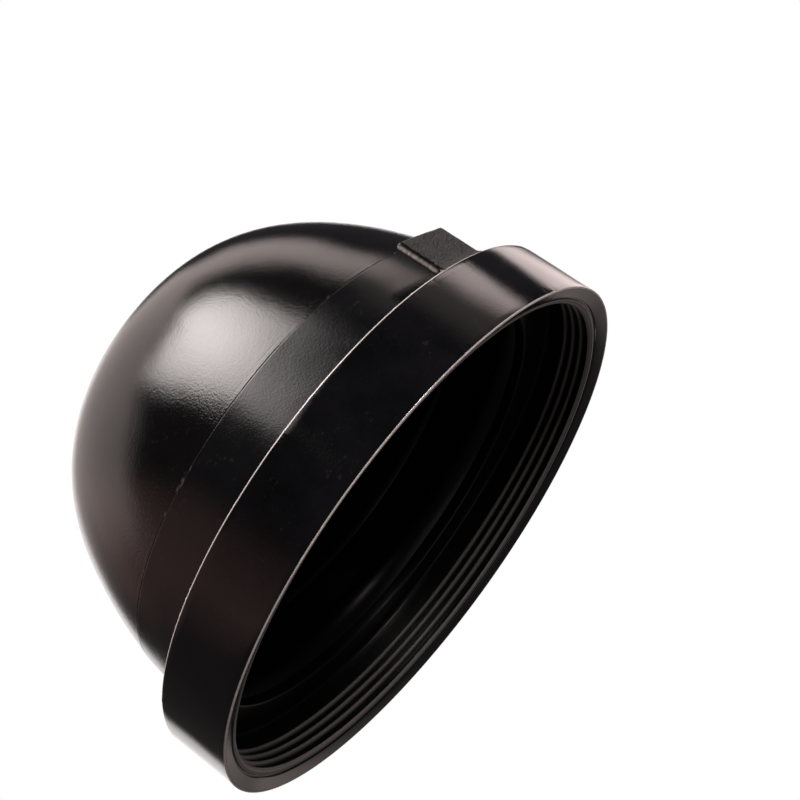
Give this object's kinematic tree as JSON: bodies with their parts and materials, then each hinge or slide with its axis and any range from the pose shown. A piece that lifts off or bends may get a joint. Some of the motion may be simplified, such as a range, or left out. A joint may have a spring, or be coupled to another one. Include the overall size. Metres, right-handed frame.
{
  "type": "headlamp dust cover",
  "caption": "Domed black rubber dust cap with a thick ribbed collar that stretches over a headlamp's rear rim, and a small flexing pull tab on the collar.",
  "frame": {"origin": "centre of the mouth, in the plane that the rim stands on", "axes": "+Z along the cap's axis from the mouth to the dome's top; the pull tab stands on the -Y side; +X completes a right-handed frame"},
  "size_m": [0.107, 0.107, 0.066],
  "materials": {
    "gloss_rubber": "moulded glossy black rubber",
    "grained_rubber": "fine grained matt black rubber"
  },
  "bodies": {
    "cap": {"dome_skirt": "gloss_rubber", "dome_crown": "gloss_rubber", "mouth_collar": "gloss_rubber", "rear_shoulder": "gloss_rubber", "sealing_ribs": "gloss_rubber", "rim_lip": "gloss_rubber", "inner_belt": "gloss_rubber", "tab_root": "grained_rubber"},
    "tab": {"pull_tab": "grained_rubber"}
  },
  "joints": [
    {"name": "tab_flex", "type": "hinge", "parent": "cap", "child": "tab", "pos_m": [0, -0.0521, 0.0167], "axis": [1, 0, 0], "range_deg": [-25, 95], "stiffness_Nm_per_rad": 0.005}
  ]
}
